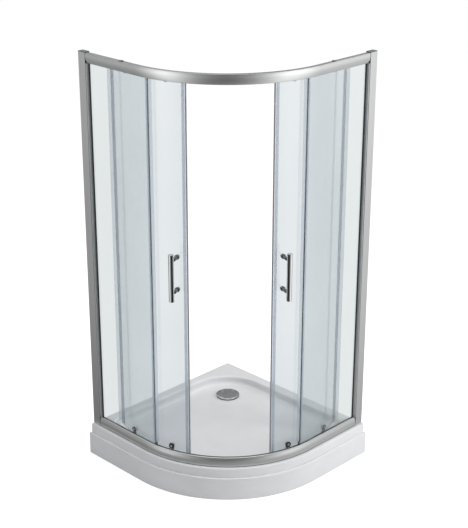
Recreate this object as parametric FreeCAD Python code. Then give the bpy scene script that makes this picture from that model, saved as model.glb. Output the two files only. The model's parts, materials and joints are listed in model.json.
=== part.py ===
import FreeCAD, Part
import math
import os

os.makedirs("parts", exist_ok=True)

# Quadrant shower enclosure on its tray, in millimetres, with +Z up.
# The walls lie at the least x and the greatest y, and the curved front faces +x and -y.
# An inset is a distance inwards from the outer face of the skirt.
# The left half is modelled with its door closed, and the right half is its mirror image.

# Plan of the tray
tray_side = 900.0
front_radius = 550.0

# Shower tray
tray_height = 145.0
tray_wall = 5.0
tray_corner_round = 8.0
rim_face_height = 41.0
rim_foot_inset = 11.0
rim_lean = 3.5
rim_round = 4.0
rim_lap = 14.0
back_ledge = 48.0
front_ledge = 66.0
bowl_depth = 40.0
bowl_back_round = 200.0
bowl_front_round = 70.0
bowl_floor_round = 20.0
bowl_rim_round = 10.0

# Skirt and its brackets
skirt_wall = 4.0
skirt_round = 3.0
skirt_gap = 0.3
bracket_width = 30.0
bracket_sheet = 3.0
bracket_leg = 44.0
bracket_lap = 30.0
bracket_arc_shares = (0.1, 0.5, 0.9)

# Base board and feet
board_thickness = 16.0
board_margin = 75.0
board_inset = 110.0
board_round = 60.0
foot_margin = 130.0
foot_inset = 200.0
stud_radius = 5.0
stud_grip = 12.0
nut_across_flats = 17.0
nut_height = 8.0
pad_radius = 22.0
pad_height = 9.0
pad_socket = 5.0
thread_gap = 0.1

# Waste
drain_offset = 195.0
waste_hole_radius = 45.0
waste_flange_radius = 55.0
waste_flange_thickness = 2.0
waste_tube_radius = 43.0
waste_tube_wall = 3.0
waste_tube_drop = 15.0
gasket_thickness = 3.0
gasket_lap = 10.0
waste_floor_gap = 25.0
waste_body_wall = 3.0
waste_body_flange = 5.0
waste_body_gap = 1.0
outlet_radius = 20.0
outlet_wall = 2.5
outlet_length = 60.0
outlet_grip = 45.0
outlet_stop_radius = 25.0
outlet_stop = 4.0
outlet_floor_gap = 4.0
cup_gap = 2.5
cup_wall = 2.0
cup_floor_gap = 30.0
cup_lip = 4.5
cup_lip_thickness = 1.0
cup_seat_gap = 0.2
cup_rib_width = 3.0
cup_rib_height = 2.0
cup_rib_count = 3
cover_radius = 56.0
cover_edge = 1.0
cover_crown = 2.5
cover_shoulder = 9.0

# Top and bottom rail: one extrusion, the other way up
rail_inset = 30.0
rail_height = 43.0
rail_wall = 2.0
rail_lean = 6.0
rail_bulge = 3.2
rail_flange = 20.0
ledge_drop = 28.0
ledge_margin = 1.0
slot_face_gap = 2.5
slot_width = 9.0
slot_cheek = 1.5
slot_short = 2.0
rail_top_gap = 1.0
rail_end_gap = 2.5
joiner_length = 61.0
joiner_gap = 0.3
plug_radius = 9.5
plug_height = 3.0
plug_stem_radius = 5.0
plug_stem_gap = 0.1
plug_back = 90.0

# Wall profiles, side profiles and their screws
profile_height = 1732.0
profile_width = 42.0
profile_proud = 1.5
profile_back_gap = 0.6
profile_wall = 2.0
profile_cap = 3.0
profile_cap_round = 1.5
wall_hole_radius = 3.0
wall_hole_end = 150.0
side_profile_wall = 1.6
side_profile_gap = 0.3
side_profile_back = 14.0
side_profile_show = 5.0
side_profile_cheek = 3.0
side_profile_end_gap = 0.5
screw_radius = 1.75
screw_head_radius = 4.0
screw_head = 2.0
screw_tip = 3.0
screw_gap = 0.1
screw_height_shares = (0.15, 0.5, 0.85)

# Fixed glass with its gasket, edge seal and clip
glass = 5.0
fixed_turn = 5.8
fixed_top_gap = 3.0
fixed_gasket_length = 5.0
fixed_gasket_base = 2.0
gasket_side_gap = 0.2
gasket_grip_gap = 0.1
seal_wall = 1.2
seal_gap = 0.3
edge_seal_grip = 8.0
edge_seal_head = 3.0
edge_seal_fin = 11.0
edge_seal_rise = 5.5
edge_seal_end_gap = 1.0
clip_length = 10.0
clip_height = 25.0
clip_gap = 0.3

# Doors, built closed and then turned about the pole of their travel
door_gap = 23.0
door_end_gap = 2.0
door_drop = 15.0
door_tail = 70.0
meeting_gap = 1.0
magnet_seal_grip = 12.0
magnet_seal_head = 8.0
tail_seal_grip = 20.0
tail_seal_head = 4.0
tail_seal_fin = 14.0

# Rollers, hangers and carriers
lead_wheel_turn = 34.65
trail_wheel_turn = 7.7
wheel_radius = 10.0
wheel_width = 7.0
wheel_chamfer = 0.8
wheel_gap = 0.3
wheel_side_gap = 0.3
wheel_spacer = 7.0
axle_radius = 3.0
axle_gap = 0.05
axle_head_radius = 4.5
axle_head = 1.5
plate_thickness = 4.0
plate_half_width = 10.0
hanger_bolt_edge = 14.0
bolt_radius = 3.0
bolt_gap = 0.1
glass_hole_radius = 5.0
bolt_head_radius = 8.0
bolt_head = 4.0
bolt_bite = 3.0
glass_seat_gap = 0.15
cap_radius = 12.5
cap_depth = 6.0
cap_round = 1.5
cap_edge_gap = 20.0
button_radius = 6.2
button_gap = 0.3
button_proud = 1.5
button_travel = 3.0
button_end_gap = 0.5
button_round = 1.0

# Handles
handle_rise = 870.0
handle_pitch = 145.0
handle_back = 40.0
handle_reach = 60.0
bar_radius = 11.5
bar_length = 210.0
bar_round = 1.5
post_radius = 8.0
post_bore = 8.0
post_bar_gap = 0.1
collar_radius = 11.0
collar_length = 7.0
collar_round = 1.0
fixing_radius = 2.5
fixing_gap = 0.1
fixing_head_radius = 9.0
fixing_head = 5.0
fixing_round = 1.0

# Door travel: how much of it each door has gone from closed, and the stops at its end
park_gap = 10.0
parked_travel_share = 0.855
left_open_share = 0.8
right_open_share = 0.905
stop_length = 12.0
stop_height = 8.0
stop_width = 8.0
stop_gap = 1.0

# Cutting tools reach this far past what they cut, and points this close are one place
overrun = 10.0
same_place = 0.001

# Places worked out from the sizes above
Vector = FreeCAD.Vector
up = Vector(0, 0, 1)
half_side = tray_side / 2
straight_run = tray_side - front_radius
centre = Vector(straight_run - half_side, half_side - straight_run, 0)
mirror_normal = Vector(1, 1, 0)

skirt_height = tray_height - rim_face_height
rim_top_inset = rim_foot_inset + rim_lean
rim_foot = skirt_height - rim_lap
bowl_inset = rim_top_inset + front_ledge
floor_top = tray_height - bowl_depth
floor_under = floor_top - tray_wall
board_under = floor_under - board_thickness
drain = Vector(drain_offset - half_side, half_side - drain_offset, 0)

rail_top = tray_height + profile_height - rail_top_gap
ledge_back = ledge_drop + rail_wall
slot_end = rail_height - slot_short
rail_hollow_inset = rail_inset + rail_lean + rail_wall
slot_outer = rail_hollow_inset + slot_face_gap + slot_cheek
slot_inner = slot_outer + slot_width
fixed_inset = slot_outer + (slot_width - glass) / 2
profile_inset = rail_inset - profile_proud
side_profile_inner = slot_inner + side_profile_wall + profile_back_gap
profile_back_inset = side_profile_inner + side_profile_gap + profile_wall
profile_top = tray_height + profile_height
fixed_low = tray_height + ledge_back
fixed_high = rail_top - ledge_back - fixed_top_gap
side_profile_end = profile_width + side_profile_show
fixed_start = side_profile_end + fixed_gasket_base

door_inset = fixed_inset + glass + door_gap
door_back_inset = door_inset + glass
door_low = fixed_low - door_drop
door_high = rail_top - ledge_back - door_end_gap
door_radius = front_radius - door_inset
meeting_turn = math.degrees(math.pi / 4)
door_turn = meeting_turn - math.degrees((magnet_seal_head + meeting_gap / 2) / door_radius)
plate_inset = door_inset - plate_thickness
wheel_inset = plate_inset - wheel_spacer - wheel_width
wheel_middle = wheel_inset + wheel_width / 2
ledge_edge = wheel_inset + wheel_width + ledge_margin
top_axle = rail_top - ledge_drop + wheel_radius + wheel_gap
bottom_axle = tray_height + ledge_drop - wheel_radius - wheel_gap
hanger_bolt = door_high - hanger_bolt_edge
carrier_bolt = door_low + cap_radius + cap_edge_gap
handle_turn = door_turn - math.degrees(handle_back / door_radius)
handle_middle = tray_height + handle_rise
post_heights = [handle_middle - handle_pitch / 2, handle_middle + handle_pitch / 2]
bar_inset = door_inset - handle_reach
wheel_turns = {"lead": lead_wheel_turn, "trail": trail_wheel_turn}
profile_reach = side_profile_end + side_profile_cheek
tail_travel = straight_run - profile_reach - door_tail - tail_seal_head - park_gap
handle_arc = math.radians(handle_turn - fixed_turn) * door_radius
handle_travel = handle_arc - edge_seal_head - edge_seal_fin - collar_radius - park_gap
door_travel = min(tail_travel, handle_travel)
parked_turn = math.degrees(door_travel * parked_travel_share / (front_radius - wheel_middle))
quarter_round_share = 1 - math.sqrt(0.5)


def place(turn, along, inset, z):
    """Point at an angle round the front, then on along the tangent there, at an inset and a height."""
    angle = math.radians(turn)
    outward = Vector(math.sin(angle), -math.cos(angle), 0)
    onward = Vector(math.cos(angle), math.sin(angle), 0)
    return centre + outward * (front_radius - inset) + onward * along + up * z


def outline(points):
    """Face inside straight sides and arcs: an item that is a pair of points is an arc through the first."""
    here = points[0]
    edges = []
    for item in points[1:] + points[:1]:
        if isinstance(item, tuple):
            through, end = item
            edges.append(Part.Arc(here, through, end).toShape())
        else:
            end = item
            edges.append(Part.makeLine(here, end))
        here = end
    return Part.Face(Part.Wire(edges))


def section(profile, along):
    """Face across the left run, from items of inset and height, at a distance past the tangent point."""
    points = []
    for item in profile:
        if isinstance(item[0], tuple):
            points.append(tuple(place(0, along, *point) for point in item))
        else:
            points.append(place(0, along, *item))
    return outline(points)


def follow(profile, start, turn):
    """Solid of one section from a distance off the left wall and on through an angle of the arc."""
    length = straight_run - start
    straight = section(profile, -length).extrude(Vector(length, 0, 0))
    curved = section(profile, 0).revolve(centre, up, turn)
    return straight.fuse(curved).removeSplitter()


def round_front(profile, start):
    """Solid of one section from a distance off the left wall to the same distance off the right wall."""
    left = follow(profile, start, meeting_turn)
    return left.fuse(mirrored(left)).removeSplitter()


def mirrored(shape):
    """The same piece on the other half."""
    return shape.mirror(Vector(0, 0, 0), mirror_normal)


def upright(turn, points, low, high):
    """Standing piece at an angle of the arc: its plan is distances along the tangent and insets."""
    return outline([place(turn, along, inset, low) for along, inset in points]).extrude(up * (high - low))


def from_wall(points, low, high):
    """Standing piece whose plan is given by distances off the left wall and insets."""
    return upright(0, [(along - straight_run, inset) for along, inset in points], low, high)


def block(turn, start, end, outer, inner, low, high):
    """Box between two distances along the tangent, two insets and two heights."""
    return upright(turn, [(start, outer), (end, outer), (end, inner), (start, inner)], low, high)


def spindle(turn, along, outer, inner, z, radius):
    """Round bar that points inwards, between two insets."""
    base = place(turn, along, outer, z)
    return Part.makeCylinder(radius, inner - outer, base, place(turn, along, inner, z) - base)


def quadrant(margin, inset, back_round, front_round, low, high):
    """Standing solid over the plan: a margin off both walls and an inset behind the curved front."""
    least_x = margin - half_side
    greatest_x = half_side - inset
    corners = [
        (centre.x, centre.y, front_radius - inset),
        (greatest_x - front_round, -least_x - front_round, front_round),
        (least_x + back_round, -least_x - back_round, back_round),
        (least_x + front_round, front_round - greatest_x, front_round),
    ]
    points = []
    for quarter, (x, y, radius) in enumerate(corners):
        angles = [(quarter - 1) * math.pi / 2 + step * math.pi / 4 for step in range(3)]
        first, middle, last = [
            Vector(x + radius * math.cos(angle), y + radius * math.sin(angle), low) for angle in angles
        ]
        points += [first, (middle, last)]
    return outline(points).extrude(up * (high - low))


def edges_on(shape, z, other):
    """The edges of a shape that lie at one height and touch another shape."""
    found = []
    for edge in shape.Edges:
        level = edge.BoundBox.ZMax - z < same_place and z - edge.BoundBox.ZMin < same_place
        if level and edge.distToShape(other)[0] < same_place:
            found.append(edge)
    return found


def rim_at(shape, point):
    """The round edge of a shape whose centre is at a point."""
    return [edge for edge in shape.Edges if edge.CenterOfMass.distanceToPoint(point) < same_place]


def tube(base, outer_radius, inner_radius, length, direction=up):
    """Pipe from a point along a direction."""
    outer = Part.makeCylinder(outer_radius, length, base, direction)
    return outer.cut(Part.makeCylinder(inner_radius, length, base, direction))


def save(name, *solids):
    """Write a piece, or a group of like pieces, as one file."""
    shape = solids[0] if len(solids) == 1 else Part.makeCompound(solids)
    shape.exportStep(f"parts/{name}.step")


def save_halves(name, *solids):
    """Write like pieces of both halves as one file."""
    save(name, *solids, *[mirrored(solid) for solid in solids])


def save_both(name, *solids):
    """Write a piece of the left half and its mirror image."""
    save(f"left_{name}", *solids)
    save(f"right_{name}", *[mirrored(solid) for solid in solids])


def rail_profile(base, sense):
    """Section of a rail, whose flange lies at the base and whose face rises or hangs from it."""

    def face(drop):
        share = drop / rail_height
        return rail_inset + rail_lean * share - 4 * rail_bulge * share * (1 - share)

    def at(inset, drop):
        return (inset, base + sense * drop)

    return [
        at(face(0), 0),
        (at(face(rail_height / 2), rail_height / 2), at(face(rail_height), rail_height)),
        at(face(rail_height) + rail_wall, rail_height),
        at(face(ledge_back) + rail_wall, ledge_back),
        at(slot_outer - slot_cheek, ledge_back),
        at(slot_outer - slot_cheek, slot_end),
        at(slot_outer, slot_end),
        at(slot_outer, ledge_back),
        at(slot_inner, ledge_back),
        at(slot_inner, slot_end),
        at(slot_inner + slot_cheek, slot_end),
        at(slot_inner + slot_cheek, ledge_back),
        at(ledge_edge, ledge_back),
        at(ledge_edge, ledge_drop),
        at(face(ledge_drop) + rail_wall, ledge_drop),
        at(face(rail_wall) + rail_wall, rail_wall),
        at(face(0) + rail_flange, rail_wall),
        at(face(0) + rail_flange, 0),
    ]


def door_pole():
    """Pole about which a turn takes the door from closed to parked with both its wheels on the track."""
    lead, trail = [place(turn, 0, wheel_middle, 0) for turn in wheel_turns.values()]
    parked_lead = place(lead_wheel_turn - parked_turn, 0, wheel_middle, 0)
    wheel_span = (lead - trail).Length
    rise = parked_lead.y - place(0, 0, wheel_middle, 0).y
    parked_trail = parked_lead - Vector(math.sqrt(wheel_span**2 - rise**2), rise, 0)
    before = lead - trail
    after = parked_lead - parked_trail
    turn = math.atan2(after.y, after.x) - math.atan2(before.y, before.x)
    return (lead + parked_lead) / 2 + up.cross(parked_lead - lead) / (2 * math.tan(turn / 2))


pole = door_pole()
right_pole = Vector(-pole.y, -pole.x, 0)
pole_reach = (place(lead_wheel_turn, 0, wheel_middle, 0) - pole).Length
full_open_angle = math.degrees(door_travel / pole_reach)
left_open_angle = full_open_angle * left_open_share
right_open_angle = full_open_angle * right_open_share


def save_doors(name, *solids):
    """Write a piece of the left door and its mirror image, each opened as far as it stands."""
    save(f"left_{name}", *[solid.rotated(pole, up, -left_open_angle) for solid in solids])
    save(f"right_{name}", *[mirrored(solid).rotated(right_pole, up, right_open_angle) for solid in solids])


def shower_tray():
    """Acrylic shell: leaning rim, level ledge, rounded bowl and the hole for the waste."""
    body = quadrant(0, rim_foot_inset, tray_corner_round, tray_corner_round, rim_foot, tray_height)
    rim_edge = rim_top_inset + rim_round
    round_step = rim_round * quarter_round_share
    outside = [
        (-overrun, skirt_height),
        (rim_foot_inset, skirt_height),
        (rim_top_inset, tray_height - rim_round),
        (
            (rim_top_inset + round_step, tray_height - round_step),
            (rim_edge, tray_height),
        ),
        (rim_edge, tray_height + overrun),
        (-overrun, tray_height + overrun),
    ]
    bowl = quadrant(
        back_ledge, bowl_inset, bowl_back_round, bowl_front_round, floor_top, tray_height + overrun
    )
    bowl = bowl.makeFillet(bowl_floor_round, edges_on(bowl, floor_top, bowl))
    shell = quadrant(
        back_ledge - tray_wall,
        bowl_inset - tray_wall,
        bowl_back_round + tray_wall,
        bowl_front_round + tray_wall,
        floor_under,
        tray_height,
    )
    shell = shell.makeFillet(bowl_floor_round + tray_wall, edges_on(shell, floor_under, shell))
    hollow = quadrant(
        tray_wall,
        rim_top_inset + tray_wall,
        tray_corner_round,
        tray_corner_round,
        rim_foot - overrun,
        tray_height - tray_wall,
    )
    hole = Part.makeCylinder(waste_hole_radius, tray_height, drain)
    tray = body.cut(round_front(outside, -overrun)).cut(hollow.cut(shell)).cut(bowl)
    tray = tray.makeFillet(bowl_rim_round, edges_on(tray, tray_height, bowl))
    return tray.cut(hole)


save("shower_tray", shower_tray())


def tray_skirt():
    """Curved front panel with a rounded top edge that returns to the foot of the rim."""
    return_edge = rim_foot_inset - skirt_gap
    round_step = skirt_round * quarter_round_share
    profile = [
        (0, 0),
        (0, skirt_height - skirt_round),
        (
            (round_step, skirt_height - round_step),
            (skirt_round, skirt_height),
        ),
        (return_edge, skirt_height),
        (return_edge, skirt_height - skirt_wall),
        (skirt_wall, skirt_height - skirt_wall),
        (skirt_wall, 0),
    ]
    return round_front(profile, 0)


save("tray_skirt", tray_skirt())


def skirt_bracket(turn):
    """Angle of sheet steel: a leg behind the skirt and an arm under the base board."""
    leg_face = skirt_wall + skirt_gap
    half_width = bracket_width / 2
    leg_foot = board_under - bracket_leg
    arm_end = board_inset + bracket_lap
    arm_foot = board_under - bracket_sheet
    leg = block(turn, -half_width, half_width, leg_face, leg_face + bracket_sheet, leg_foot, board_under)
    arm = block(turn, -half_width, half_width, leg_face, arm_end, arm_foot, board_under)
    return leg.fuse(arm).removeSplitter()


save("skirt_brackets", *[skirt_bracket(2 * meeting_turn * share) for share in bracket_arc_shares])

foot_line = half_side - foot_margin
foot_places = [
    Vector(-foot_line, foot_line, 0),
    Vector(-foot_line, foot_inset - half_side, 0),
    Vector(half_side - foot_inset, foot_line, 0),
    place(meeting_turn, 0, foot_inset, 0),
    Vector(0, 0, 0),
]


def base_board():
    """Board bonded under the bowl, bored for the waste and for the studs of the feet."""
    board = quadrant(board_margin, board_inset, board_round, board_round, board_under, floor_under)
    tools = [Part.makeCylinder(waste_hole_radius + 2 * gasket_lap, floor_under, drain)]
    for foot in foot_places:
        tools.append(Part.makeCylinder(stud_radius + thread_gap, board_under + stud_grip, foot))
    return board.cut(tools)


def foot_nut(foot):
    """Hexagon lock nut under the base board."""
    corner_radius = nut_across_flats / math.sqrt(3)
    base = foot + up * (board_under - nut_height)
    corners = []
    for side in range(6):
        angle = side * math.pi / 3
        corners.append(base + Vector(math.cos(angle), math.sin(angle), 0) * corner_radius)
    return outline(corners).extrude(up * nut_height).cut(
        Part.makeCylinder(stud_radius + thread_gap, nut_height, base)
    )


def foot_pad(foot):
    """Round pad with a socket for the stud."""
    pad = Part.makeCylinder(pad_radius, pad_height, foot)
    socket_base = foot + up * (pad_height - pad_socket)
    return pad.cut(Part.makeCylinder(stud_radius + thread_gap, pad_socket, socket_base))


def foot_stud(foot):
    """Threaded rod from the pad's socket into the base board."""
    base = pad_height - pad_socket
    return Part.makeCylinder(stud_radius, board_under + stud_grip - base, foot + up * base)


save("tray_base_board", base_board())
save("foot_lock_nuts", *[foot_nut(foot) for foot in foot_places])
save("foot_pads", *[foot_pad(foot) for foot in foot_places])
save("foot_studs", *[foot_stud(foot) for foot in foot_places])

tube_bore = waste_tube_radius - waste_tube_wall
body_top = floor_under - gasket_thickness
body_low = waste_floor_gap
body_bore = waste_tube_radius + waste_body_gap
body_radius = body_bore + waste_body_wall
body_flange_radius = waste_hole_radius + gasket_lap
flange_top = floor_top + waste_flange_thickness


def waste_flange():
    """Ring on the tray floor, with the tube that screws down into the waste body."""
    ring = tube(drain + up * floor_top, waste_flange_radius, tube_bore, waste_flange_thickness)
    sleeve = tube(drain + up * (floor_top - waste_tube_drop), waste_tube_radius, tube_bore, waste_tube_drop)
    return ring.fuse(sleeve).removeSplitter()


def waste_body():
    """Cup under the tray with a flange at its mouth and an outlet with a pipe stop towards the left wall."""
    depth = body_top - body_low
    cup = Part.makeCylinder(body_radius, depth, drain + up * body_low)
    flange = Part.makeCylinder(
        body_flange_radius, waste_body_flange, drain + up * (body_top - waste_body_flange)
    )
    outlet_height = body_low + outlet_floor_gap + outlet_radius
    outlet_end = drain + Vector(-body_radius - outlet_length, 0, outlet_height)
    inwards = Vector(1, 0, 0)
    outlet_run = body_radius + outlet_length
    outlet = Part.makeCylinder(outlet_radius, outlet_run, outlet_end, inwards)
    stop = Part.makeCylinder(outlet_stop_radius, outlet_stop, outlet_end + inwards * outlet_grip, inwards)
    bore = Part.makeCylinder(outlet_radius - outlet_wall, outlet_run, outlet_end, inwards)
    well_base = drain + up * (body_low + waste_body_wall)
    well = Part.makeCylinder(body_bore, depth, well_base)
    return cup.fuse([flange, outlet, stop]).cut([bore, well]).removeSplitter()


def waste_cup():
    """Lift-out cup that hangs by its lip on the flange, with ribs that carry the cover."""
    radius = tube_bore - cup_gap
    lip_low = flange_top + cup_seat_gap
    lip_top = lip_low + cup_lip_thickness
    foot = body_low + waste_body_wall + cup_floor_gap
    wall = tube(drain + up * foot, radius, radius - cup_wall, lip_top - foot)
    lip = tube(drain + up * lip_low, radius + cup_lip, radius - cup_wall, cup_lip_thickness)
    ribs = []
    for rib in range(cup_rib_count):
        bar = Part.makeBox((cup_wall + cup_lip) / 2, cup_rib_width, cup_rib_height)
        bar.translate(Vector(radius - cup_wall / 2, -cup_rib_width / 2, lip_top))
        bar.rotate(Vector(0, 0, 0), up, rib * math.degrees(2 * math.pi) / cup_rib_count)
        bar.translate(drain)
        ribs.append(bar)
    return wall.fuse([lip] + ribs).removeSplitter()


def waste_cover():
    """Disc over the cup, with a thin edge and a rounded shoulder up to its flat top."""
    low = flange_top + cup_seat_gap + cup_lip_thickness + cup_rib_height
    edge = low + cover_edge
    crown = edge + cover_crown
    flat_radius = cover_radius - cover_shoulder
    swell = (cover_shoulder**2 + cover_crown**2) / (2 * cover_crown)
    half_angle = math.asin(cover_shoulder / swell) / 2
    drop = swell * (1 - math.cos(half_angle))
    through = Vector(flat_radius + swell * math.sin(half_angle), 0, crown - drop)
    face = outline(
        [
            Vector(0, 0, low),
            Vector(cover_radius, 0, low),
            Vector(cover_radius, 0, edge),
            (through, Vector(flat_radius, 0, crown)),
            Vector(0, 0, crown),
        ]
    )
    cover = face.revolve(Vector(0, 0, 0), up, math.degrees(2 * math.pi))
    cover.translate(drain)
    return cover


save("waste_flange", waste_flange())
save("waste_gasket", tube(drain + up * body_top, body_flange_radius, waste_hole_radius, gasket_thickness))
save("waste_body", waste_body())
save("waste_cup", waste_cup())
save("waste_cover", waste_cover())

screw_heights = [tray_height + profile_height * share for share in screw_height_shares]
screw_along = (side_profile_back + profile_width) / 2 - straight_run
screw_seat = profile_back_inset


def screw_holes():
    """Holes for the screws that join each wall profile to its side profile."""
    radius = screw_radius + screw_gap
    tip = side_profile_inner - side_profile_wall - overrun
    return [spindle(0, screw_along, tip, screw_seat + overrun, z, radius) for z in screw_heights]


def wall_profile():
    """Channel against the wall, open to the glass, with screw holes through its back."""
    outer = profile_inset
    inner = profile_back_inset
    plan = [
        (0, outer),
        (profile_width, outer),
        (profile_width, outer + profile_wall),
        (profile_wall, outer + profile_wall),
        (profile_wall, inner - profile_wall),
        (profile_width, inner - profile_wall),
        (profile_width, inner),
        (0, inner),
    ]
    channel = from_wall(plan, tray_height, profile_top)
    tools = screw_holes()
    heights = [tray_height + wall_hole_end, profile_top - wall_hole_end]
    for z in heights + [sum(heights) / 2]:
        base = place(0, -straight_run, (outer + inner) / 2, z)
        tools.append(Part.makeCylinder(wall_hole_radius, profile_wall, base, Vector(1, 0, 0)))
    return channel.cut(tools)


def profile_cover():
    """Cap that closes the top of a wall profile."""
    plan = [
        (0, profile_inset),
        (profile_width, profile_inset),
        (profile_width, profile_back_inset),
        (0, profile_back_inset),
    ]
    cap = from_wall(plan, profile_top, profile_top + profile_cap)
    return cap.makeFillet(profile_cap_round, edges_on(cap, profile_top + profile_cap, cap))


def side_profile():
    """Channel nested in the wall profile, with two cheeks that hold the gasket of the fixed glass."""
    outer = profile_inset + profile_wall + side_profile_gap
    inner = side_profile_inner
    wall = side_profile_wall
    end = side_profile_end
    web = end - wall
    cheek_end = profile_reach
    plan = [
        (side_profile_back, outer),
        (end, outer),
        (end, slot_outer - wall),
        (cheek_end, slot_outer - wall),
        (cheek_end, slot_outer),
        (end, slot_outer),
        (end, slot_inner),
        (cheek_end, slot_inner),
        (cheek_end, slot_inner + wall),
        (end, slot_inner + wall),
        (end, inner),
        (side_profile_back, inner),
        (side_profile_back, inner - wall),
        (web, inner - wall),
        (web, outer + wall),
        (side_profile_back, outer + wall),
    ]
    low = tray_height + rail_height + side_profile_end_gap
    high = rail_top - rail_height - side_profile_end_gap
    return from_wall(plan, low, high).cut(screw_holes())


def profile_screw(z):
    """Pan-head screw from the inside through both profiles."""
    tip = side_profile_inner - side_profile_wall - screw_tip
    head = spindle(0, screw_along, screw_seat, screw_seat + screw_head, z, screw_head_radius)
    shank = spindle(0, screw_along, tip, screw_seat, z, screw_radius)
    return head.fuse(shank).removeSplitter()


save_both("wall_profile", wall_profile())
save_both("side_profile", side_profile())
save_halves("profile_caps", profile_cover())
save_halves("profile_screws", *[profile_screw(z) for z in screw_heights])

rail_start = profile_width + rail_end_gap
plug_middle = rail_inset + rail_flange / 2


def rail_plug():
    """Push-in plug on the flange of the top rail."""
    base = place(0, -plug_back, plug_middle, rail_top)
    head = Part.makeCylinder(plug_radius, plug_height, base)
    stem = Part.makeCylinder(plug_stem_radius, 2 * rail_wall, base - up * 2 * rail_wall)
    return head.fuse(stem).removeSplitter()


def top_rail():
    """Rail that carries the doors, bored for its two plugs."""
    base = place(0, -plug_back, plug_middle, rail_top - rail_wall)
    hole = Part.makeCylinder(plug_stem_radius + plug_stem_gap, rail_wall, base)
    return round_front(rail_profile(rail_top, -1), rail_start).cut([hole, mirrored(hole)])


def rail_joiner(base, sense):
    """Block that joins a rail's end to the wall profile."""
    start = side_profile_back - straight_run
    heights = sorted([base + sense * rail_wall, base + sense * (ledge_drop - joiner_gap)])
    end = start + joiner_length
    return block(0, start, end, rail_hollow_inset, rail_inset + rail_flange, *heights)


save("top_rail", top_rail())
save("bottom_rail", round_front(rail_profile(tray_height, 1), rail_start))
save_halves("rail_end_brackets", rail_joiner(rail_top, -1), rail_joiner(tray_height, 1))
save_halves("rail_plugs", rail_plug())


def fixed_glass():
    """Fixed panel, straight and then just past the start of the curve, that stands in the bottom rail."""
    inner = fixed_inset + glass
    profile = [(fixed_inset, fixed_low), (inner, fixed_low), (inner, fixed_high), (fixed_inset, fixed_high)]
    return follow(profile, fixed_start, fixed_turn)


def fixed_gasket():
    """Channel of dark rubber on the upright edge of the fixed glass, in the side profile."""
    outer = slot_outer + gasket_side_gap
    inner = slot_inner - gasket_side_gap
    grip_outer = fixed_inset - gasket_grip_gap
    grip_inner = fixed_inset + glass + gasket_grip_gap
    base = fixed_start - gasket_grip_gap
    end = side_profile_end + fixed_gasket_length
    plan = [
        (side_profile_end, outer),
        (end, outer),
        (end, grip_outer),
        (base, grip_outer),
        (base, grip_inner),
        (end, grip_inner),
        (end, inner),
        (side_profile_end, inner),
    ]
    return from_wall(plan, fixed_low, fixed_high)


def fixed_edge_seal():
    """Clear strip on the free edge of the fixed glass, with a fin towards the door."""
    outer = fixed_inset - seal_gap - seal_wall
    inner = fixed_inset + glass + seal_gap + seal_wall
    fin_end = edge_seal_head + edge_seal_fin
    plan = [
        (-edge_seal_grip, outer),
        (edge_seal_head, outer),
        (edge_seal_head, inner - seal_wall),
        (fin_end, inner + edge_seal_rise - seal_wall),
        (fin_end, inner + edge_seal_rise),
        (edge_seal_head, inner),
        (-edge_seal_grip, inner),
        (-edge_seal_grip, inner - seal_wall),
        (seal_gap, inner - seal_wall),
        (seal_gap, outer + seal_wall),
        (-edge_seal_grip, outer + seal_wall),
    ]
    low = fixed_low + clip_height + edge_seal_end_gap
    high = rail_top - slot_end - edge_seal_end_gap
    return upright(fixed_turn, plan, low, high)


def fixed_clip():
    """Block that stops the foot of the fixed glass in the slot of the bottom rail."""
    outer = slot_outer + clip_gap
    inner = slot_inner - clip_gap
    return block(fixed_turn, clip_gap, clip_length, outer, inner, fixed_low, fixed_low + clip_height)


save_both("fixed_glass", fixed_glass())
save_both("fixed_gasket", fixed_gasket())
save_both("fixed_edge_seal", fixed_edge_seal())
save_halves("fixed_panel_clips", fixed_clip())


def door_stop():
    """Rubber block on the ledge of the top rail, just past the trailing wheel of a fully open door."""
    wheel = place(trail_wheel_turn, 0, wheel_middle, 0)
    turned = Part.Vertex(wheel).rotated(pole, up, -full_open_angle).Point
    end = turned.x - centre.x - wheel_radius - stop_gap
    ledge = rail_top - ledge_drop
    outer = wheel_middle - stop_width / 2
    return block(0, end - stop_length, end, outer, outer + stop_width, ledge, ledge + stop_height)


save_halves("door_stops", door_stop())

roller_places = [(turn, z) for z in (hanger_bolt, carrier_bolt) for turn in wheel_turns.values()]


def door_glass():
    """Curved pane with a straight tail, drilled for its rollers and its handle."""
    profile = [
        (door_inset, door_low),
        (door_back_inset, door_low),
        (door_back_inset, door_high),
        (door_inset, door_high),
    ]
    pane = follow(profile, straight_run - door_tail, door_turn)
    places = roller_places + [(handle_turn, z) for z in post_heights]
    outer = door_inset - overrun
    inner = door_back_inset + overrun
    return pane.cut([spindle(turn, 0, outer, inner, z, glass_hole_radius) for turn, z in places])


seal_outer = door_inset - seal_gap - seal_wall
seal_inner = door_back_inset + seal_gap + seal_wall


def magnet_seal():
    """Clear strip on the leading edge of the door, with a square head for the magnet."""
    plan = [
        (-magnet_seal_grip, seal_outer),
        (magnet_seal_head, seal_outer),
        (magnet_seal_head, seal_inner),
        (-magnet_seal_grip, seal_inner),
        (-magnet_seal_grip, seal_inner - seal_wall),
        (seal_gap, seal_inner - seal_wall),
        (seal_gap, seal_outer + seal_wall),
        (-magnet_seal_grip, seal_outer + seal_wall),
    ]
    return upright(door_turn, plan, door_low, door_high)


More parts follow.
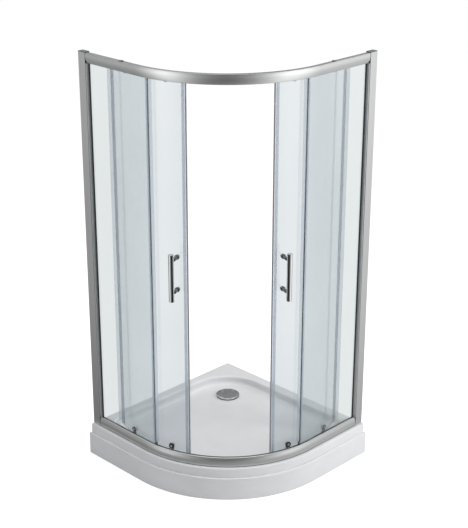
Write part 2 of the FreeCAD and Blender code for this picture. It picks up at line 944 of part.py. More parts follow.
def tail_seal():
    """Clear strip on the trailing edge of the door, with a fin towards the fixed glass."""
    edge = -door_tail
    grip = edge + tail_seal_grip
    head = edge - tail_seal_head
    fin = seal_outer - tail_seal_fin
    plan = [
        (grip, seal_outer),
        (grip, seal_outer + seal_wall),
        (edge - seal_gap, seal_outer + seal_wall),
        (edge - seal_gap, seal_inner - seal_wall),
        (grip, seal_inner - seal_wall),
        (grip, seal_inner),
        (head, seal_inner),
        (head, seal_outer),
    ]
    lip = [(head, seal_outer), (head, fin), (head + seal_wall, fin), (head + seal_wall, seal_outer)]
    over_rail = upright(0, lip, fixed_low + door_end_gap, door_high)
    return upright(0, plan, door_low, door_high).fuse(over_rail).removeSplitter()


save_doors("door_glass", door_glass())
save_doors("magnet_seal", magnet_seal())
save_doors("tail_seal", tail_seal())


def plate(turn, low, high):
    """Strap with round ends on the outer face of the glass, between its bolt and its axle."""
    flat = block(turn, -plate_half_width, plate_half_width, plate_inset, door_inset, low, high)
    ends = [spindle(turn, 0, plate_inset, door_inset, z, plate_half_width) for z in (low, high)]
    return flat.fuse(ends)


def axle(turn, z):
    """Stub axle with a collar behind the wheel and a head in front of it."""
    wheel_end = wheel_inset + wheel_width + wheel_side_gap
    front = wheel_inset - wheel_side_gap
    collar = spindle(turn, 0, wheel_end, plate_inset, z, axle_head_radius)
    pin = spindle(turn, 0, front, wheel_end, z, axle_radius)
    head = spindle(turn, 0, front - axle_head, front, z, axle_head_radius)
    return [collar, pin, head]


def bolt_hole(turn, z):
    """Hole in a plate for the bolt through the glass."""
    return spindle(turn, 0, plate_inset, door_inset, z, bolt_radius + bolt_gap)


def top_hanger(turn):
    """Plate and axle that hang the door from the top rail."""
    hanger = plate(turn, hanger_bolt, top_axle).fuse(axle(turn, top_axle)).removeSplitter()
    return hanger.cut(bolt_hole(turn, hanger_bolt))


def bottom_carrier(turn):
    """Plate and axle that keep the door in the bottom rail, with a round cap for the release button."""
    cap_face = plate_inset - cap_depth
    cap = spindle(turn, 0, cap_face, plate_inset, carrier_bolt, cap_radius)
    cap = cap.makeFillet(cap_round, rim_at(cap, place(turn, 0, cap_face, carrier_bolt)))
    bore = spindle(turn, 0, cap_face, plate_inset, carrier_bolt, button_radius + button_gap)
    carrier = plate(turn, bottom_axle, carrier_bolt).fuse(axle(turn, bottom_axle) + [cap.cut(bore)])
    return carrier.removeSplitter().cut(bolt_hole(turn, carrier_bolt))


def release_button(turn):
    """Push button in the cap of a bottom carrier."""
    face = plate_inset - cap_depth - button_proud
    end = plate_inset - button_travel - button_end_gap
    button = spindle(turn, 0, face, end, carrier_bolt, button_radius)
    return button.makeFillet(button_round, rim_at(button, place(turn, 0, face, carrier_bolt)))


def roller_bolt(turn, z):
    """Bolt with a flat head on the inside of the glass, through to the plate."""
    seat = door_back_inset + glass_seat_gap
    head = spindle(turn, 0, seat, seat + bolt_head, z, bolt_head_radius)
    shank = spindle(turn, 0, door_inset - bolt_bite, seat, z, bolt_radius)
    return head.fuse(shank).removeSplitter()


def wheel(turn, z):
    """Plastic roller with chamfered edges, bored for its axle."""
    inner = wheel_inset + wheel_width
    solid = spindle(turn, 0, wheel_inset, inner, z, wheel_radius)
    solid = solid.makeChamfer(wheel_chamfer, [edge for edge in solid.Edges if edge.Closed])
    return solid.cut(spindle(turn, 0, wheel_inset, inner, z, axle_radius + axle_gap))


save_doors("top_hangers", *[top_hanger(turn) for turn in wheel_turns.values()])
save_doors("bottom_carriers", *[bottom_carrier(turn) for turn in wheel_turns.values()])
save_doors("roller_bolts", *[roller_bolt(turn, z) for turn, z in roller_places])
for end, turn in wheel_turns.items():
    save_doors(f"top_{end}_wheel", wheel(turn, top_axle))
    save_doors(f"bottom_{end}_wheel", wheel(turn, bottom_axle))
    save_doors(f"{end}_release_button", release_button(turn))


def handle_bar():
    """Upright round bar with softened ends."""
    base = place(handle_turn, 0, bar_inset, handle_middle - bar_length / 2)
    bar = Part.makeCylinder(bar_radius, bar_length, base)
    return bar.makeFillet(bar_round, [edge for edge in bar.Edges if edge.Closed])


def handle_post(z):
    """Post from the bar to a collar on the glass, bored for its fixing screw."""
    post = spindle(handle_turn, 0, bar_inset, door_inset, z, post_radius)
    collar_face = door_inset - collar_length
    collar = spindle(handle_turn, 0, collar_face, door_inset, z, collar_radius)
    collar = collar.makeFillet(collar_round, rim_at(collar, place(handle_turn, 0, collar_face, z)))
    bar_base = place(handle_turn, 0, bar_inset, handle_middle - bar_length / 2)
    bar = Part.makeCylinder(bar_radius + post_bar_gap, bar_length, bar_base)
    bore = spindle(handle_turn, 0, door_inset - post_bore, door_inset, z, fixing_radius + fixing_gap)
    return post.fuse(collar).removeSplitter().cut([bar, bore])


def handle_fixing(z):
    """Screw with a round cap on the inside of the glass, that goes into the post."""
    seat = door_back_inset + glass_seat_gap
    face = seat + fixing_head
    head = spindle(handle_turn, 0, seat, face, z, fixing_head_radius)
    head = head.makeFillet(fixing_round, rim_at(head, place(handle_turn, 0, face, z)))
    tip = door_inset - post_bore + fixing_gap
    shank = spindle(handle_turn, 0, tip, seat, z, fixing_radius)
    return head.fuse(shank).removeSplitter()


save_doors("handle_bar", handle_bar())
save_doors("handle_posts", *[handle_post(z) for z in post_heights])
save_doors("handle_fixings", *[handle_fixing(z) for z in post_heights])
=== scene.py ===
import json
from math import atan2, degrees, pi, radians, tau

import bmesh
import bpy
from mathutils import Matrix, Vector

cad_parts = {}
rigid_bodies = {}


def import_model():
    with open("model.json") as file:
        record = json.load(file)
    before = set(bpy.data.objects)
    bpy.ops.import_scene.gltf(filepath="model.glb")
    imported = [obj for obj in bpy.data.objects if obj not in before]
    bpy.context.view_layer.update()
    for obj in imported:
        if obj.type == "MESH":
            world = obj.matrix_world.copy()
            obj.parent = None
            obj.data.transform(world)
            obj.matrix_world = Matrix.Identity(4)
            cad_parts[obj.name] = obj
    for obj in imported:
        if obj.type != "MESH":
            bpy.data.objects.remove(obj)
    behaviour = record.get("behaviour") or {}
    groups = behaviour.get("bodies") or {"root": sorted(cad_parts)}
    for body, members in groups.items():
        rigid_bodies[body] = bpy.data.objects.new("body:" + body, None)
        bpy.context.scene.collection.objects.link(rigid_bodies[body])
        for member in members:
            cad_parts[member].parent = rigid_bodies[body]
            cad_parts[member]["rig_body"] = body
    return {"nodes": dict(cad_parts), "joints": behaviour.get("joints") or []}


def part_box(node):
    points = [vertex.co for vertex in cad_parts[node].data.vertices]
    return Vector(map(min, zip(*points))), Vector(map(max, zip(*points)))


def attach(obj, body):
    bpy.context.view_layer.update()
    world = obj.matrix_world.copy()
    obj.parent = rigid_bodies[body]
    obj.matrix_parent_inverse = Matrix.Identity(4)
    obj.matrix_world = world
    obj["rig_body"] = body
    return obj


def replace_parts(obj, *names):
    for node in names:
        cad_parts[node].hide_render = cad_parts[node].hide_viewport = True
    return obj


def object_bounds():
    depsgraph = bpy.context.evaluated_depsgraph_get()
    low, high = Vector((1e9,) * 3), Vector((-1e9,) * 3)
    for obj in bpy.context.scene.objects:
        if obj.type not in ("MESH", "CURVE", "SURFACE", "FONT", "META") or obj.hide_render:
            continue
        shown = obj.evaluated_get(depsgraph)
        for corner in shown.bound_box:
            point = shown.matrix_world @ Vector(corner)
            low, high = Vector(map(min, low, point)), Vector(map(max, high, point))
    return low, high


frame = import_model()
cad_box = [list(corner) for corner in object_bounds()]


# Adjustable feet: five zinc plated studs with hexagon lock nuts, screwed up into the base board.
# Each stands in a round pad of moulded black plastic, and the fitter turns them until the tray is level.

def linear(code):
    """A hex sRGB colour as linear red, green, blue and alpha."""
    shares = [int(code[start:start + 2], 16) / 255 for start in (1, 3, 5)]
    return [s / 12.92 if s <= 0.04045 else ((s + 0.055) / 1.055) ** 2.4 for s in shares] + [1.0]


def add(tree, kind, settings=None, links=None):
    """One shader node, with settings for its sockets or options and links into its sockets."""
    made = tree.nodes.new(kind)
    for name, value in (settings or {}).items():
        if name in made.inputs:
            made.inputs[name].default_value = value
        else:
            setattr(made, name, value)
    for name, output in (links or {}).items():
        tree.links.new(output, made.inputs[name])
    return made


def uneven(name, patch, tones, roughness, relief, sockets):
    """A material whose patches, in mm along x, y and z, differ in tone, roughness and relief in mm."""
    made = bpy.data.materials.new(name)
    made.use_nodes = True
    tree = made.node_tree
    shader = tree.nodes["Principled BSDF"]
    for socket, value in sockets.items():
        shader.inputs[socket].default_value = value
    spot = add(tree, "ShaderNodeTexCoord")
    sized = add(tree, "ShaderNodeMapping", {"Scale": [1000 / size for size in patch]},
                {"Vector": spot.outputs["Object"]})
    noise = add(tree, "ShaderNodeTexNoise", {"Scale": 1.0, "Detail": 2.0},
                {"Vector": sized.outputs["Vector"]})
    spread = add(tree, "ShaderNodeMapRange", {"From Min": 0.3, "From Max": 0.7},
                 {"Value": noise.outputs["Fac"]})
    share = spread.outputs["Result"]
    tone = add(tree, "ShaderNodeMixRGB", {"Color1": linear(tones[0]), "Color2": linear(tones[1])},
               {"Fac": share})
    rough = add(tree, "ShaderNodeMapRange", {"To Min": roughness[0], "To Max": roughness[1]},
                {"Value": share})
    bumped = add(tree, "ShaderNodeBump", {"Distance": relief / 1000}, {"Height": share})
    tree.links.new(tone.outputs["Color"], shader.inputs["Base Color"])
    tree.links.new(rough.outputs["Result"], shader.inputs["Roughness"])
    tree.links.new(bumped.outputs["Normal"], shader.inputs["Normal"])
    return made


def fit(bm, name, material, *nodes):
    """Puts a finished mesh in place of its CAD nodes, on their body."""
    mesh = bpy.data.meshes.new(name)
    bm.to_mesh(mesh)
    bm.free()
    mesh.materials.append(material)
    mesh.shade_smooth()
    mesh.set_sharp_from_angle(angle=radians(32))
    piece = bpy.data.objects.new(name, mesh)
    bpy.context.scene.collection.objects.link(piece)
    piece.modifiers.new("flat faces stay flat", "WEIGHTED_NORMAL").keep_sharp = True
    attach(piece, frame["nodes"][nodes[0]]["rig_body"])
    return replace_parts(piece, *nodes)


def soften(bm, radius, angle=50):
    """Rounds every edge that is sharper than an angle to a radius in mm."""
    edges = [edge for edge in bm.edges if edge.is_manifold and edge.calc_face_angle() > radians(angle)]
    bmesh.ops.bevel(bm, geom=edges, offset=radius / 1000, offset_type="OFFSET", affect="EDGES",
                    segments=2, profile=0.5, material=-1, clamp_overlap=True)


def joined(node, material, rounding=0):
    """A copy of a CAD node with its triangles joined, its flat faces made whole and its edges rounded."""
    bm = bmesh.new()
    bm.from_mesh(frame["nodes"][node].data)
    bmesh.ops.remove_doubles(bm, verts=bm.verts, dist=1e-6)
    bmesh.ops.dissolve_limit(bm, angle_limit=radians(0.3), verts=bm.verts, edges=bm.edges)
    if rounding:
        soften(bm, rounding)
    return fit(bm, node + "_piece", material, node)


# Zinc plating on steel: bluish grey, with cloudy patches about a centimetre across.
zinc = uneven("zinc plated steel", patch=(12, 12, 12), tones=("#aeb2b8", "#c3c5c4"), roughness=(0.32, 0.5),
              relief=0.02, sockets={"Metallic": 1.0})
# Moulded black polypropylene: nearly black, dull, with a fine spark-eroded grain drawn 2 mm wide to show.
black_plastic = uneven("black polypropylene", patch=(2, 2, 2), tones=("#1b1c1e", "#26272a"),
                       roughness=(0.5, 0.68), relief=0.05, sockets={"IOR": 1.49})
joined("foot_studs", zinc)
joined("foot_lock_nuts", zinc, rounding=0.5)
joined("foot_pads", black_plastic)


# Base board: one sawn sheet of raw chipboard, glued under the tray floor to stiffen it.
# Pressed steel angles on its underside reach out to the skirt and hold it.

# Chipboard: straw brown and dull, with flat chips about 5 mm long in lighter and darker browns.
chipboard = uneven("raw chipboard", patch=(5, 5, 2), tones=("#9c7d56", "#c9ad80"), roughness=(0.75, 0.92),
                   relief=0.15, sockets={"IOR": 1.45})
joined("tray_base_board", chipboard, rounding=0.8)
joined("skirt_brackets", zinc, rounding=0.4)


# Waste: a black plastic cup under the tray, drawn up against a rubber ring by a chromed flange.
# A loose inner cup hangs in it and lifts out with the chromed cover, which stands a little off the flange.

def corners(node):
    """A CAD node's lowest and highest corner at rest, in mm."""
    return [corner * 1000 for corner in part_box(node)]


def moved(bm, move):
    """A mesh taken to its place, with its faces turned outwards again."""
    bm.transform(move)
    bm.normal_update()
    bmesh.ops.recalc_face_normals(bm, faces=bm.faces)
    return bm


def turned(profile, base, axis):
    """A piece turned on a lathe: radii and distances in mm from a base point along an axis."""
    bm = bmesh.new()
    points = [bm.verts.new((radius / 1000, 0, along / 1000)) for radius, along in profile]
    sides = [bm.edges.new(pair) for pair in zip(points, points[1:])]
    bmesh.ops.spin(bm, geom=points + sides, cent=(0, 0, 0), axis=(0, 0, 1), angle=tau, steps=64,
                   use_merge=True)
    bmesh.ops.remove_doubles(bm, verts=bm.verts, dist=1e-6)
    upright = Vector((0, 0, 1)).rotation_difference(Vector(axis)).to_matrix().to_4x4()
    return moved(bm, Matrix.Translation(base) @ upright)


# Chrome plate on a polished casting: cool bright mirror with very faint clouding about 15 mm across.
chrome = uneven("polished chrome plate", patch=(15, 15, 15), tones=("#c9cbcd", "#d3d4d5"),
                roughness=(0.06, 0.13), relief=0, sockets={"Metallic": 1.0})
# EPDM rubber: greenish black and dull, with a soft bloom in 6 mm patches.
rubber = uneven("black rubber", patch=(6, 6, 6), tones=("#2c3636", "#3a4545"), roughness=(0.55, 0.75),
                relief=0.02, sockets={"IOR": 1.5})
joined("waste_body", black_plastic)
joined("waste_gasket", rubber)
joined("waste_flange", chrome)
joined("waste_cup", black_plastic)
low, high = corners("waste_cover")
cover_radius = (high.x - low.x) / 2
cover_height = high.z - low.z
# The rim of the cover and the groove in its top, as distances in from the rim and down from the top.
cover_rim = [(1.6, cover_height), (0.2, 1.3), (0, 0.9), (0.3, 0.4), (1.4, 0.2)]
cover_groove = [(9, 0.05), (9.4, 0.5), (10, 0.5), (10.4, 0.05)]
steps = [(cover_radius - inwards, cover_height - down) for inwards, down in cover_rim + cover_groove]
cover_base = Vector(((low.x + high.x) / 2, (low.y + high.y) / 2, low.z)) / 1000
cover = turned([(0, 0), *steps, (0, cover_height)], cover_base, (0, 0, 1))
fit(cover, "waste_cover_disc", chrome, "waste_cover")


# Shower tray: one sheet of white acrylic, heated and drawn over a mould, with a leaning rim at the front,
# a level ledge, and a rounded bowl that runs down to the waste in the back corner.

# Cast acrylic: clean cool white, glossy, with a slight waviness some 120 mm long left by the drawing.
acrylic = uneven("white cast acrylic", patch=(120, 120, 60), tones=("#eceded", "#f1f2f3"),
                 roughness=(0.1, 0.16), relief=0.05, sockets={"IOR": 1.49})
joined("shower_tray", acrylic)


# Skirt: a separate curved panel of the same acrylic, clipped to brackets in front of the feet.
# Its rounded top edge returns to the foot of the tray's rim.

half_side = round(cad_box[1][0] * 1000, 3)
front_radius = 550
straight_run = 2 * half_side - front_radius
bend_centre = Vector((half_side - front_radius, front_radius - half_side, 0)) / 1000


def drawn(section, rounds, start, turn, whole=False):
    """A section of insets and heights in mm, drawn from a distance off the left wall and round the front.

    Rounds are radii at corners of the section, by number. A whole piece runs on to the right wall.
    """
    bm = bmesh.new()
    points = [bm.verts.new(((start - half_side) / 1000, (inset - half_side) / 1000, z / 1000))
              for inset, z in section]
    bm.faces.new(points)
    for number, radius in rounds.items():
        bmesh.ops.bevel(bm, geom=[points[number]], offset=radius / 1000, offset_type="OFFSET",
                        affect="VERTICES", segments=5, profile=0.5, material=-1)
    bm.faces.ensure_lookup_table()
    end = bm.faces[0]
    for run in ((1, 0), (0, 1)) if whole else ((1, 0),):
        grown = bmesh.ops.extrude_face_region(bm, geom=[end])["geom"]
        if run == (0, 1):
            bmesh.ops.delete(bm, geom=[end], context="FACES_ONLY")
        step = Vector((*run, 0)) * (straight_run - start) / 1000
        bmesh.ops.translate(bm, verts=[g for g in grown if isinstance(g, bmesh.types.BMVert)], vec=step)
        end = next(g for g in grown if isinstance(g, bmesh.types.BMFace))
        if run == (1, 0):
            spun = bmesh.ops.spin(bm, geom=[end, *end.edges, *end.verts], cent=bend_centre, axis=(0, 0, 1),
                                  angle=radians(turn), steps=max(4, int(turn)))
            end = next(g for g in spun["geom_last"] if isinstance(g, bmesh.types.BMFace))
    return moved(bm, Matrix())


skirt_high = corners("tray_skirt")[1].z
skirt_wall = 4
skirt_return = 10.7
skirt_rounds = {1: 3, 2: 1}
under_return = skirt_high - skirt_wall
skirt_outline = [(0, 0), (0, skirt_high), (skirt_return, skirt_high), (skirt_return, under_return),
                 (skirt_wall, under_return), (skirt_wall, 0)]
skirt = drawn(skirt_outline, skirt_rounds, start=0, turn=90, whole=True)
fit(skirt, "skirt_panel", acrylic, "tray_skirt")


# Wall profiles: extruded aluminium channels, satin anodised, screwed to the two walls.
# A grey plastic cap closes each top, and small stainless screws fix the glass profiles in them.

# Satin anodised aluminium: neutral grey, with drawing lines along its length about 1.5 mm apart.
standing_aluminium = uneven("satin anodised aluminium, upright", patch=(1.5, 1.5, 400),
                            tones=("#cccdcd", "#d6d7d7"), roughness=(0.3, 0.38), relief=0.004,
                            sockets={"Metallic": 1.0})
# Moulded grey nylon: mid grey and dull, with a fine grain drawn 3 mm wide to show.
grey_plastic = uneven("grey moulded nylon", patch=(3, 3, 3), tones=("#5f6163", "#6d6f72"),
                      roughness=(0.45, 0.6), relief=0.03, sockets={"IOR": 1.53})
# Stainless steel: warm grey metal with a turned finish in lines about 2 mm apart.
stainless = uneven("stainless steel", patch=(8, 8, 2), tones=("#a3a29f", "#b4b3b1"), roughness=(0.4, 0.52),
                   relief=0.01, sockets={"Metallic": 1.0})
other_side = Matrix(((0, -1, 0, 0), (-1, 0, 0, 0), (0, 0, 1, 0), (0, 0, 0, 1)))


def raised(plan, rounds, low, high, side):
    """An upright extrusion: its plan in distances off the wall and insets in mm, between two heights."""
    bm = bmesh.new()
    points = [bm.verts.new(((off - half_side) / 1000, (inset - half_side) / 1000, low / 1000))
              for off, inset in plan]
    bm.faces.new(points)
    for number, radius in rounds.items():
        bmesh.ops.bevel(bm, geom=[points[number]], offset=radius / 1000, offset_type="OFFSET",
                        affect="VERTICES", segments=3, profile=0.5, material=-1)
    bm.faces.ensure_lookup_table()
    grown = bmesh.ops.extrude_face_region(bm, geom=[bm.faces[0]])["geom"]
    rise = Vector((0, 0, high - low)) / 1000
    bmesh.ops.translate(bm, verts=[g for g in grown if isinstance(g, bmesh.types.BMVert)], vec=rise)
    return moved(bm, other_side if side == "right" else Matrix())


low, high = corners("left_wall_profile")
depth, front, back = high.x + half_side, low.y + half_side, high.y + half_side
channel_wall = 2
channel_rounds = {0: 1, 1: 1, 6: 1, 7: 1}
channel = [(0, front), (depth, front), (depth, front + channel_wall), (channel_wall, front + channel_wall),
           (channel_wall, back - channel_wall), (depth, back - channel_wall), (depth, back), (0, back)]
for side in ("left", "right"):
    profile = raised(channel, channel_rounds, low.z, high.z, side)
    fit(profile, f"{side}_wall_channel", standing_aluminium, f"{side}_wall_profile")
joined("profile_caps", grey_plastic)
joined("profile_screws", stainless)


# Top and bottom rail: one aluminium extrusion bent to the plan, with a bulged face, a track for the wheels
# and a slot for the fixed glass. Grey nylon blocks join its ends to the wall profiles, and plugs close its
# holes. A thin strip of black rubber along the foot of the bottom one is painted shade, standing in for
# the shadow gap between the rail and the tray.

# The same satin anodising, with the drawing lines running level along the rail.
level_aluminium = uneven("satin anodised aluminium, level", patch=(400, 400, 1.5),
                         tones=("#cbcccc", "#d5d6d6"), roughness=(0.28, 0.36), relief=0.004,
                         sockets={"Metallic": 1.0})
low, high = corners("top_rail")
rail_start = low.x + half_side
rail_height = high.z - low.z
rail_wall = 2
face_inset = 30
face_lean = 6
face_bulge = 12.8
face_steps = (6, 12, 18, 24, 30, 36, 40)
face_top_round, face_foot_round, foot_inner_round = 0.5, 1.4, 0.4
shelf = 30
shelf_back = 62
flange_back = 50
slot_front, slot_back = 42, 51
slot_lip = 1.5
lip_end = 41
# Height and insets of the dark strip under the bottom rail's face, which is painted shade for the shadow gap
# there.
shade_strip_height = 2.6
shade_strip_front, shade_strip_back = 30.2, 31


def rail(base, sense, shade_strip=0):
    """The rail's section from its flange at the base, with the face hanging or rising from it."""
    def face(drop):
        share = drop / rail_height
        return face_inset + face_lean * share - face_bulge * share * (1 - share)

    # With a dark strip of painted shade at the foot, the face starts above it.
    section = [(shade_strip_back, 0), (shade_strip_back, shade_strip)] if shade_strip else []
    first = len(section)
    section += [(face(drop), drop) for drop in (shade_strip, *face_steps, rail_height)]
    last = len(section) - 1
    section += [(face(rail_height) + rail_wall, rail_height), (face(shelf) + rail_wall, shelf)]
    for near in (slot_front - slot_lip, slot_back):
        section += [(near, shelf), (near, lip_end), (near + slot_lip, lip_end), (near + slot_lip, shelf)]
    under = shelf - rail_wall
    section += [(shelf_back, shelf), (shelf_back, under), (face(under) + rail_wall, under),
                (face(rail_wall) + rail_wall, rail_wall), (flange_back, rail_wall), (flange_back, 0)]
    rounds = {first: face_top_round, last: face_foot_round, last + 1: foot_inner_round}
    placed = [(inset, base + sense * drop) for inset, drop in section]
    return drawn(placed, rounds, rail_start, turn=90, whole=True)


rim = corners("bottom_rail")[0].z
fit(rail(high.z, -1), "top_rail_extrusion", level_aluminium, "top_rail")
fit(rail(rim, 1, shade_strip_height), "bottom_rail_extrusion", level_aluminium, "bottom_rail")
# The dark strip along the bottom rail's foot: painted shade for the shadow gap between rail and tray.
shade_strip_top = rim + shade_strip_height
shade_strip_outline = [(shade_strip_front, rim), (shade_strip_front, shade_strip_top), (shade_strip_back, shade_strip_top), (shade_strip_back, rim)]
shade_strip = drawn(shade_strip_outline, {}, rail_start, turn=90, whole=True)
fit(shade_strip, "bottom_rail_shade_strip", rubber, "bottom_rail")
joined("rail_end_brackets", grey_plastic, rounding=0.5)
joined("rail_plugs", grey_plastic, rounding=0.6)


# Glass profiles: narrower channels of the same aluminium, nested in the wall profiles.
# Two cheeks on each hold a dark rubber gasket, which grips the edge of the fixed glass.

low, high = corners("left_side_profile")
sunk_end, cheek_end = low.x + half_side, high.x + half_side
front, back = low.y + half_side, high.y + half_side
channel_wall = 1.6
channel_rounds = {1: 0.8, 4: 0.5, 7: 0.5}
web = 47
web_back = web - channel_wall
channel = [(sunk_end, front), (web, front), (web, slot_front - channel_wall),
           (cheek_end, slot_front - channel_wall), (cheek_end, slot_front), (web, slot_front),
           (web, slot_back), (cheek_end, slot_back), (cheek_end, slot_back + channel_wall),
           (web, slot_back + channel_wall), (web, back), (sunk_end, back), (sunk_end, back - channel_wall),
           (web_back, back - channel_wall), (web_back, front + channel_wall),
           (sunk_end, front + channel_wall)]
for side in ("left", "right"):
    profile = raised(channel, channel_rounds, low.z, high.z, side)
    fit(profile, f"{side}_glass_channel", standing_aluminium, f"{side}_side_profile")
    joined(f"{side}_fixed_gasket", rubber, rounding=0.4)


# Fixed panels: clear toughened glass, 5 mm, straight from the wall and just into the curve.
# A clear strip with a fin towards the door grips the free edge, and a grey clip stops the foot in the rail.

# Clear float glass: a faint cool grey, with polished faces and waves too slight to see but in gloss.
glass = uneven("clear toughened glass", patch=(300, 300, 300), tones=("#e5eaeb", "#e8eced"),
               roughness=(0, 0.01), relief=0.01, sockets={"IOR": 1.5, "Transmission Weight": 1.0})
# Clear soft PVC: translucent blue grey, a little milky, with flow lines along the strip about 3 mm apart.
pvc = uneven("clear soft PVC", patch=(3, 3, 300), tones=("#e3e8ee", "#ecf0f4"), roughness=(0.1, 0.2),
             relief=0.01, sockets={"IOR": 1.45, "Transmission Weight": 0.92})
# Smoky hard PVC: the grip that is moulded on to the strip, grey and half clear, with the same flow lines.
smoky_pvc = uneven("smoky hard PVC", patch=(3, 3, 300), tones=("#7b878e", "#869198"), roughness=(0.15, 0.25),
                   relief=0.01, sockets={"IOR": 1.45, "Transmission Weight": 0.6})
# Ground glass edge: dull blue grey, darker than the faces because it hides the white behind it.
glass_edge = uneven("ground glass edge", patch=(4, 4, 4), tones=("#6f7f87", "#7d8c93"),
                    roughness=(0.3, 0.45), relief=0.02, sockets={"IOR": 1.5, "Transmission Weight": 0.3})


def lit_through(material, tint):
    """Lets lamps and soft light pass a clear material with a tint, so that what stands behind it is lit."""
    tree = material.node_tree
    rays = add(tree, "ShaderNodeLightPath")
    either = add(tree, "ShaderNodeMath", {"operation": "MAXIMUM"})
    tree.links.new(rays.outputs["Is Shadow Ray"], either.inputs[0])
    tree.links.new(rays.outputs["Is Diffuse Ray"], either.inputs[1])
    open_way = add(tree, "ShaderNodeBsdfTransparent", {"Color": linear(tint)})
    mixed = add(tree, "ShaderNodeMixShader", links={"Fac": either.outputs["Value"]})
    tree.links.new(tree.nodes["Principled BSDF"].outputs["BSDF"], mixed.inputs[1])
    tree.links.new(open_way.outputs["BSDF"], mixed.inputs[2])
    tree.links.new(mixed.outputs["Shader"], tree.nodes["Material Output"].inputs["Surface"])


lit_through(glass, "#fafbfb")
lit_through(pvc, "#dfe4e8")
lit_through(smoky_pvc, "#a9b2b8")
glass_thickness = 5
ground_edge = 0.5


def pane(inset, low, high, start, turn):
    """A pane with ground edges, straight from a distance off the wall and then bent through an angle."""
    back = inset + glass_thickness
    bm = drawn([(inset, low), (back, low), (back, high), (inset, high)], {}, start, turn)
    soften(bm, ground_edge)
    for side in bm.faces:
        narrow = min(edge.calc_length() for edge in side.edges)
        side.material_index = int(narrow < (glass_thickness + ground_edge) / 1000)
    return bm


low, high = corners("left_fixed_glass")
fixed_inset = low.y + half_side
fixed_start = low.x + half_side
fixed_turn = 5.8
smoky_from, smoky_to = -1.5, 3.25
for side in ("left", "right"):
    to_side = other_side if side == "right" else Matrix()
    fixed = moved(pane(fixed_inset, low.z, high.z, fixed_start, fixed_turn), to_side)
    fit(fixed, f"{side}_fixed_pane", glass, f"{side}_fixed_glass").data.materials.append(glass_edge)
    strip = joined(f"{side}_fixed_edge_seal", smoky_pvc, rounding=0.3).data
    strip.materials.append(pvc)
    for face in strip.polygons:
        spot = to_side @ face.center - bend_centre
        past_edge = (atan2(spot.x, -spot.y) - radians(fixed_turn)) * (front_radius - fixed_inset)
        face.material_index = int(not smoky_from < past_edge < smoky_to)
joined("fixed_panel_clips", grey_plastic, rounding=0.8)


# Door stops: small rubber blocks pressed on to the track of the top rail.
# They end the doors' travel just short of the wall profiles.

joined("door_stops", rubber, rounding=0.8)


# Sliding doors: curved panes of the same glass with a short straight tail, 5 mm thick.
# A clear magnet strip closes the leading edge, and a clear strip with a fin covers the trailing edge.

def stood_open(side):
    """The move that takes a piece of the closed left door to where this door stands open."""
    joint = next(j for j in frame["joints"] if j["name"] == f"{side}_door_travel")
    pole = Vector(joint["pos_m"])
    turn = Matrix.Rotation(-radians(joint["range_deg"][1]) * joint["axis"][2], 4, "Z")
    move = Matrix.Translation(pole) @ turn @ Matrix.Translation(-pole)
    return move @ other_side if side == "right" else move


# Rubber bonded ferrite, the magnet in the strip: dull grey, with a fine grain drawn 2 mm wide to show.
ferrite = uneven("rubber bonded ferrite", patch=(2, 2, 2), tones=("#858488", "#929195"),
                 roughness=(0.6, 0.8), relief=0.02, sockets={"IOR": 1.5})
# The same float glass, bent in the oven: a shade greyer, with the slow waves that bending leaves.
bent_glass = uneven("clear toughened glass, bent", patch=(300, 300, 300), tones=("#dfe4e7", "#e2e7ea"),
                    roughness=(0, 0.01), relief=0.02, sockets={"IOR": 1.5, "Transmission Weight": 1.0})
lit_through(bent_glass, "#fafbfb")
low, high = corners("left_door_glass")
door_inset = 72
door_radius = front_radius - door_inset
tail_start = 280
front_middle = 45
half_lead_gap = 8.5
door_turn = front_middle - degrees(half_lead_gap / door_radius)
magnet_size = (3.6, 5, 1680)
magnet_round = 0.5
magnet_past_edge = 5.6


def round_front(turn):
    """The move that takes a piece from the start of the bend to an angle along it."""
    return Matrix.Translation(bend_centre) @ Matrix.Rotation(radians(turn), 4, "Z")


for side in ("left", "right"):
    door = moved(pane(door_inset, low.z, high.z, tail_start, door_turn), stood_open(side))
    fit(door, f"{side}_door_pane", bent_glass, f"{side}_door_glass").data.materials.append(glass_edge)
    joined(f"{side}_magnet_seal", pvc, rounding=0.3)
    joined(f"{side}_tail_seal", pvc, rounding=0.3)
    magnet = bmesh.new()
    bmesh.ops.create_cube(magnet, size=0.001)
    bmesh.ops.scale(magnet, vec=magnet_size, verts=magnet.verts)
    soften(magnet, magnet_round)
    place = Vector((magnet_past_edge, glass_thickness / 2 - door_radius, (low.z + high.z) / 2)) / 1000
    moved(magnet, stood_open(side) @ round_front(door_turn) @ Matrix.Translation(place))
    fit(magnet, f"{side}_magnet_core", ferrite, f"{side}_magnet_seal")


# Rollers: steel plates bolted through the glass carry nylon wheels on stub axles, in the track of each rail.
# The bottom ones are chromed, with a black ring round a sprung button that frees the door for cleaning.

# White nylon: warm white, dull, slightly cloudy in 4 mm patches from moulding.
nylon = uneven("white nylon", patch=(4, 4, 4), tones=("#e2e2dc", "#ecece8"), roughness=(0.35, 0.5),
               relief=0.02, sockets={"IOR": 1.53})


def from_front(profile, turn, inset, z, side):
    """A turned piece that points inwards at an angle of the closed door, moved to where the door stands."""
    bm = turned(profile, Vector((0, inset - front_radius, z)) / 1000, (0, 1, 0))
    return moved(bm, stood_open(side) @ round_front(turn))


def gathered(pieces):
    """Several finished meshes as one."""
    whole = bmesh.new()
    for bm in pieces:
        mesh = bpy.data.meshes.new("piece")
        bm.to_mesh(mesh)
        bm.free()
        whole.from_mesh(mesh)
        bpy.data.meshes.remove(mesh)
    return whole


def middle(node):
    """The height in mm of the middle of a CAD node."""
    low, high = corners(node)
    return (low.z + high.z) / 2


wheel_turns = {"lead": 34.65, "trail": 7.7}
wheel_inset, ring_inset, button_inset = 54, 62, 60.5
